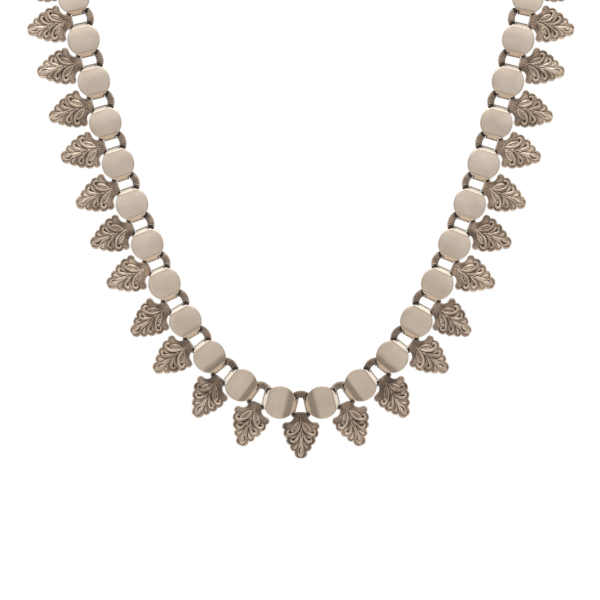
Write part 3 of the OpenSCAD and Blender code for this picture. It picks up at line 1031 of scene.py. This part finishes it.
def noise(tree, coords, scale, detail=4.0, rough=0.6, stretch=None):
    """Noise at object coordinates, whose scale is in cycles a metre."""
    if stretch:
        mapping = tree.nodes.new("ShaderNodeMapping")
        mapping.inputs["Scale"].default_value = stretch
        tree.links.new(coords, mapping.inputs["Vector"])
        coords = mapping.outputs["Vector"]
    node = tree.nodes.new("ShaderNodeTexNoise")
    node.inputs["Scale"].default_value = scale
    node.inputs["Detail"].default_value = detail
    node.inputs["Roughness"].default_value = rough
    tree.links.new(coords, node.inputs["Vector"])
    return node.outputs["Fac"]


def attribute(tree, name):
    node = tree.nodes.new("ShaderNodeAttribute")
    node.attribute_name = name
    return node.outputs["Fac"]


def mixed(tree, share, a, b, kind="MIX"):
    """Two colours mixed by a share, where each may be a source or a colour."""
    node = tree.nodes.new("ShaderNodeMix")
    node.data_type = "RGBA"
    node.blend_type = kind
    sockets = [s for s in node.inputs if s.enabled]
    for socket, value in zip(sockets, (share, a, b)):
        if isinstance(value, (int, float)):
            socket.default_value = value
        elif isinstance(value, tuple):
            socket.default_value = (*value, 1)
        else:
            tree.links.new(value, socket)
    return next(s for s in node.outputs if s.enabled)


def new_material(name):
    material = bpy.data.materials.new(name)
    material.use_nodes = True
    tree = material.node_tree
    shader = tree.nodes["Principled BSDF"]
    coords = tree.nodes.new("ShaderNodeTexCoord").outputs["Object"]
    return material, tree, shader, coords


def bump(tree, shader, height, distance, strength=1.0):
    node = tree.nodes.new("ShaderNodeBump")
    node.inputs["Strength"].default_value = strength
    node.inputs["Distance"].default_value = distance
    tree.links.new(height, node.inputs["Height"])
    tree.links.new(node.outputs["Normal"], shader.inputs["Normal"])


def oxidised_silver():
    """Cast silver: dark tarnish in the recesses, worn warm grey metal on the relief, and the painted
    shade and highlights carried in the tone.
    """
    material, tree, shader, coords = new_material("oxidised_cast_silver")
    blotch = noise(tree, coords, scale=420, detail=5, rough=0.65)
    speck = noise(tree, coords, scale=2600, detail=4, rough=0.7)
    tone = varied(tree, attribute(tree, "tone"), blotch, 0.34)
    tone = varied(tree, tone, speck, 0.26)
    colour = ramp(tree, tone, [
        (0.02, (0.030, 0.022, 0.017)),
        (0.24, (0.112, 0.083, 0.064)),
        (0.44, (0.238, 0.180, 0.142)),
        (0.66, (0.360, 0.294, 0.235)),
        (0.95, (0.510, 0.432, 0.356)),
    ])
    tint = noise(tree, coords, scale=150, detail=3, rough=0.5)
    warm = mixed(tree, tint, (0.93, 0.97, 1.0), (1.08, 1.0, 0.93))
    colour = mixed(tree, 1.0, colour, warm, "MULTIPLY")
    tree.links.new(colour, shader.inputs["Base Color"])
    rough = ramp(tree, tone, [(0.2, (0.62,) * 3), (0.55, (0.44,) * 3), (0.9, (0.33,) * 3)])
    tree.links.new(rough, shader.inputs["Roughness"])
    metal = ramp(tree, tone, [(0.12, (0.55,) * 3), (0.45, (1.0,) * 3)])
    tree.links.new(metal, shader.inputs["Metallic"])
    height = maths(tree, "ADD", speck, maths(tree, "MULTIPLY", blotch, 0.8))
    bump(tree, shader, height, distance=0.00003)
    return material


# The same sheet in two colours: a shaded inner tab and a lit outer tab, painted shade and painted
# highlight
SHADED_INNER_TAB = (0.37, 0.285, 0.215)
LIT_OUTER_TAB = (0.62, 0.56, 0.485)
# Colour of the painted dark reflection on the discs' faces
DARK_REFLECTION_COLOUR = (0.200, 0.163, 0.126)
# Colour of the painted shade along the discs' creases, edges and folds
CREASE_AND_EDGE_SHADE_COLOUR = (0.25, 0.186, 0.130)
# Colour of the near-black painted shade at the fold ends
FOLD_END_SHADE_COLOUR = (0.030, 0.024, 0.020)


def polished_silver():
    """Worn polished sheet: warm grey metal with fine scratches, painted shade at edges, creases and
    fold ends, a painted dark reflection band, and lit and shaded tabs.
    """
    material, tree, shader, coords = new_material("polished_sheet_silver")
    cloud = noise(tree, coords, scale=190, detail=4, rough=0.55)
    fine = noise(tree, coords, scale=1500, detail=5, rough=0.7)
    level = noise(tree, coords, scale=900, detail=2, rough=0.5, stretch=(1.0, 1.0, 14.0))
    upright = noise(tree, coords, scale=900, detail=2, rough=0.5, stretch=(12.0, 1.0, 1.5))
    base = ramp(tree, cloud, [
        (0.30, (0.436, 0.366, 0.300)),
        (0.50, (0.473, 0.401, 0.333)),
        (0.72, (0.512, 0.443, 0.377)),
    ])
    luck = ramp(tree, attribute(tree, "luck"), [
        (0.0, (0.92, 0.90, 0.87)),
        (1.0, (1.06, 1.07, 1.09)),
    ])
    base = mixed(tree, 1.0, base, luck, "MULTIPLY")
    # One sheet drawn in two colours, a lit outer tab and a shaded inner tab, painted highlight and
    # painted shade, which the gleam scales by row
    tab = maths(tree, "ADD", maths(tree, "MULTIPLY", attribute(tree, "tab"), 0.5), 0.5)
    share = maths(tree, "ABSOLUTE", attribute(tree, "tab"), 0.0)
    tab_light_and_shade = ramp(tree, tab, [(0.0, SHADED_INNER_TAB), (1.0, LIT_OUTER_TAB)])
    base = mixed(tree, share, base, tab_light_and_shade)
    base = mixed(tree, 1.0, base, attribute(tree, "gleam"), "MULTIPLY")
    # Painted dark reflection across each disc's inner half
    dark_reflection = maths(tree, "MULTIPLY", attribute(tree, "dark_reflection"),
                 maths(tree, "ADD", 0.60, maths(tree, "MULTIPLY", fine, 0.5)))
    base = mixed(tree, dark_reflection, base, DARK_REFLECTION_COLOUR)
    # Painted shade along the creases, edges and folds
    rim = maths(tree, "MULTIPLY", attribute(tree, "rim"),
                maths(tree, "ADD", 0.25, maths(tree, "MULTIPLY", cloud, 0.7)))
    base = mixed(tree, rim, base, CREASE_AND_EDGE_SHADE_COLOUR)
    # Painted shade, near black, at the fold ends
    base = mixed(tree, attribute(tree, "fold_end_shade"), base, FOLD_END_SHADE_COLOUR)
    tree.links.new(base, shader.inputs["Base Color"])
    shader.inputs["Metallic"].default_value = 1.0
    wear = maths(tree, "ADD", 0.20, maths(tree, "MULTIPLY", cloud, 0.16))
    wear = maths(tree, "ADD", wear, maths(tree, "MULTIPLY", fine, 0.10))
    tree.links.new(wear, shader.inputs["Roughness"])
    height = maths(tree, "ADD", maths(tree, "MULTIPLY", level, 0.6),
                   maths(tree, "MULTIPLY", upright, 0.5))
    height = maths(tree, "ADD", height, maths(tree, "MULTIPLY", fine, 0.35))
    bump(tree, shader, height, distance=0.000010, strength=0.6)
    return material


# Camera: it looks along +Y at the hanging front, with the photograph's frame
FRAME_WIDTH = 0.1399
CAMERA_LENS = 180.0
SENSOR = 36.0
FRONT_Y = -0.0533
LOOK_X, LOOK_Z = -0.0002, -0.11615


def make_camera():
    data = bpy.data.cameras.new("camera")
    data.lens = CAMERA_LENS
    data.sensor_width = SENSOR
    data.clip_start, data.clip_end = 0.01, 20
    camera = bpy.data.objects.new("camera", data)
    bpy.context.scene.collection.objects.link(camera)
    distance = FRAME_WIDTH * CAMERA_LENS / SENSOR
    camera.location = (LOOK_X, FRONT_Y - distance, LOOK_Z)
    camera.rotation_euler = (math.pi / 2, 0, 0)
    bpy.context.scene.camera = camera


FLOOR_Z = -0.262
FLOOR_R = 0.46
LIGHT_TARGET = (0, -0.05, -0.1)
KEY_COLOUR = (1.0, 0.99, 0.97)
SIDE_COLOUR = (1.0, 0.97, 0.93)
LIGHT_POWER = 2.4


def make_floor():
    """A round pale floor under the necklace."""
    material, tree, shader, coords = new_material("pale_floor")
    shade = ramp(tree, noise(tree, coords, 9, 3), [(0.3, (0.84,) * 3), (0.7, (0.88,) * 3)])
    tree.links.new(shade, shader.inputs["Base Color"])
    shader.inputs["Roughness"].default_value = 0.7
    bpy.ops.mesh.primitive_circle_add(vertices=96, radius=FLOOR_R, fill_type="NGON",
                                      location=(0, 0, FLOOR_Z))
    floor = bpy.context.object
    floor.name = "floor"
    floor.data.materials.append(material)


def soft_light(name, place, size, colour):
    """A soft box at that place, turned to the necklace."""
    data = bpy.data.lights.new(name, "AREA")
    data.shape = "RECTANGLE"
    data.size, data.size_y = size
    data.energy = LIGHT_POWER
    data.color = colour
    light = bpy.data.objects.new(name, data)
    light.location = place
    way = Vector(LIGHT_TARGET) - Vector(place)
    light.rotation_euler = way.to_track_quat("-Z", "Y").to_euler()
    bpy.context.scene.collection.objects.link(light)


def make_world():
    """White all round at eye level, a little brighter above and darker below."""
    world = bpy.data.worlds.new("studio")
    world.use_nodes = True
    tree = world.node_tree
    background = tree.nodes["Background"]
    direction = tree.nodes.new("ShaderNodeTexCoord").outputs["Generated"]
    split = tree.nodes.new("ShaderNodeSeparateXYZ")
    tree.links.new(direction, split.inputs["Vector"])
    height = maths(tree, "ADD", maths(tree, "MULTIPLY", split.outputs["Z"], 0.5), 0.5)
    shade = ramp(tree, height, [
        (0.00, (0.36, 0.31, 0.27)),
        (0.24, (0.55, 0.46, 0.39)),
        (0.41, (0.92, 0.88, 0.84)),
        (0.445, (1.0, 1.0, 1.0)),
        (0.555, (1.0, 1.0, 1.0)),
        (0.66, (1.40, 1.38, 1.35)),
        (0.85, (1.25, 1.23, 1.20)),
        (1.00, (0.95, 0.93, 0.91)),
    ])
    tree.links.new(shade, background.inputs["Color"])
    background.inputs["Strength"].default_value = 1.0
    bpy.context.scene.world = world


make_camera()
make_floor()
make_world()
soft_light("key", (0, -0.62, 0.5), (0.5, 0.3), KEY_COLOUR)
for side in (-1, 1):
    soft_light(f"side_{side}", (0.7 * side, 0.05, 0.1), (0.4, 0.6), SIDE_COLOUR)

cast = oxidised_silver()
polished = polished_silver()
make_leaves(cast)
make_discs(polished)
make_clasp(polished)

bpy.context.scene.view_settings.view_transform = "Standard"
bpy.context.scene.view_settings.look = "None"
